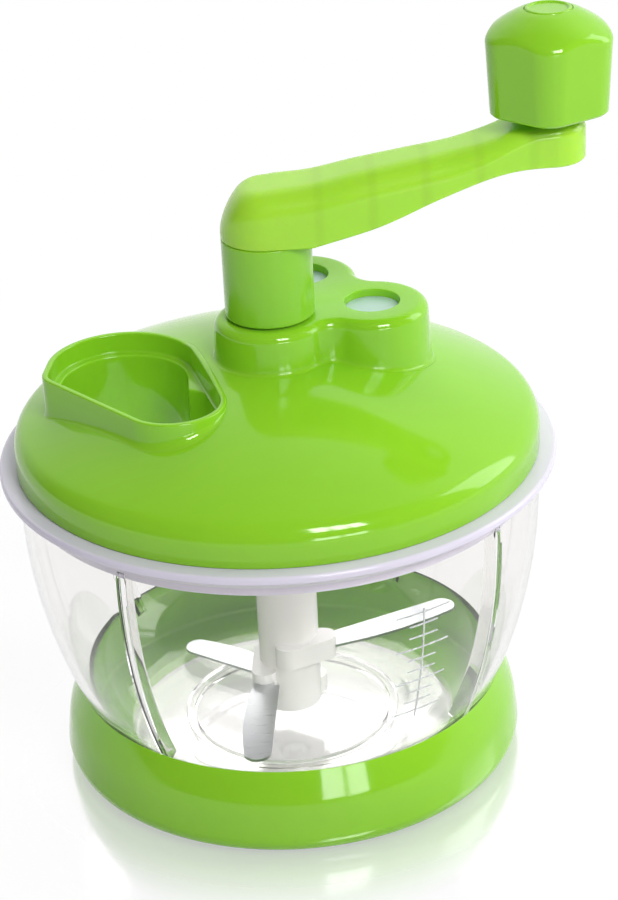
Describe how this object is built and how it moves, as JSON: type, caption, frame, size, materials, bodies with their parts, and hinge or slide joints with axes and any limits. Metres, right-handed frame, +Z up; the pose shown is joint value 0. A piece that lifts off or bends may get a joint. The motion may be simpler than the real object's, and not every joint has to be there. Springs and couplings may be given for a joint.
{
  "type": "crank food chopper",
  "caption": "Hand-cranked food chopper: clear bowl in a green base ring, domed geared lid with filling chute, curved crank arm with a faceted knob, bladed rotor inside.",
  "frame": {"origin": "on the axis of the bowl, at the plane the base stands on", "axes": "+Z up along the axis of bowl, rotor and crank; +X along the crank arm at rest; the filling chute is on the -X side and -Y faces the viewer of the picture"},
  "size_m": [0.2085, 0.19, 0.2636],
  "materials": {
    "green_plastic": "glossy moulded",
    "crank_green_plastic": "glossy, faintly translucent",
    "clear_plastic": "clear polished",
    "white_plastic": "glossy moulded",
    "gear_plastic": "satin moulded",
    "steel": "brushed",
    "foot_rubber": "matt",
    "seal_rubber": "matt translucent"
  },
  "bodies": {
    "base": {"base_ring": "green_plastic", "grip_ring": "foot_rubber"},
    "bowl_body": {"bowl": "clear_plastic", "pivot_pin": "steel"},
    "lid": {"lid_dome": "green_plastic", "lid_plate": "white_plastic", "lid_seal": "seal_rubber", "lid_screws": "steel", "idler_pin_a": "steel", "idler_pin_b": "steel", "output_washer": "steel"},
    "crank": {"crank_gear": "gear_plastic", "crank_spindle": "steel", "crank_screw": "steel", "crank_washer": "steel", "thrust_washer": "white_plastic", "crank_post": "crank_green_plastic", "crank_arm": "crank_green_plastic", "knob_axle": "steel", "axle_nut": "steel", "knob_washer": "white_plastic"},
    "knob": {"knob_body": "green_plastic", "knob_cap": "green_plastic"},
    "idler_a": {"idler_gear_a": "gear_plastic"},
    "idler_b": {"idler_gear_b": "gear_plastic"},
    "output": {"output_gear": "gear_plastic"},
    "rotor": {"rotor_hub": "white_plastic", "blade_lower": "steel", "blade_middle": "steel", "blade_upper": "steel"}
  },
  "joints": [
    {"name": "bowl_lift", "type": "slide", "parent": "base", "child": "bowl_body", "axis": [0, 0, 1], "range_m": [0, 0.04]},
    {"name": "lid_lift", "type": "slide", "parent": "bowl_body", "child": "lid", "axis": [0, 0, 1], "range_m": [0, 0.05]},
    {"name": "crank_spin", "type": "hinge", "parent": "lid", "child": "crank", "pos_m": [0, 0, 0.15], "axis": [0, 0, 1], "continuous": true},
    {"name": "knob_spin", "type": "hinge", "parent": "crank", "child": "knob", "pos_m": [0.0935, 0, 0.23], "axis": [0, 0, 1], "continuous": true},
    {"name": "idler_a_spin", "type": "hinge", "parent": "lid", "child": "idler_a", "pos_m": [0.03436, 0.00668, 0.13], "axis": [0, 0, 1], "continuous": true},
    {"name": "idler_b_spin", "type": "hinge", "parent": "lid", "child": "idler_b", "pos_m": [0.01139, 0.03309, 0.122], "axis": [0, 0, 1], "continuous": true},
    {"name": "output_spin", "type": "hinge", "parent": "lid", "child": "output", "pos_m": [0, 0, 0.12], "axis": [0, 0, 1], "continuous": true},
    {"name": "rotor_spin", "type": "hinge", "parent": "bowl_body", "child": "rotor", "pos_m": [0, 0, 0.02], "axis": [0, 0, 1], "continuous": true}
  ],
  "couplings": [
    {"joint": "idler_a_spin", "follows": "crank_spin", "ratio": -1.5455},
    {"joint": "idler_b_spin", "follows": "crank_spin", "ratio": 2.3884},
    {"joint": "output_spin", "follows": "crank_spin", "ratio": -3.6912},
    {"joint": "rotor_spin", "follows": "crank_spin", "ratio": -3.6912}
  ]
}
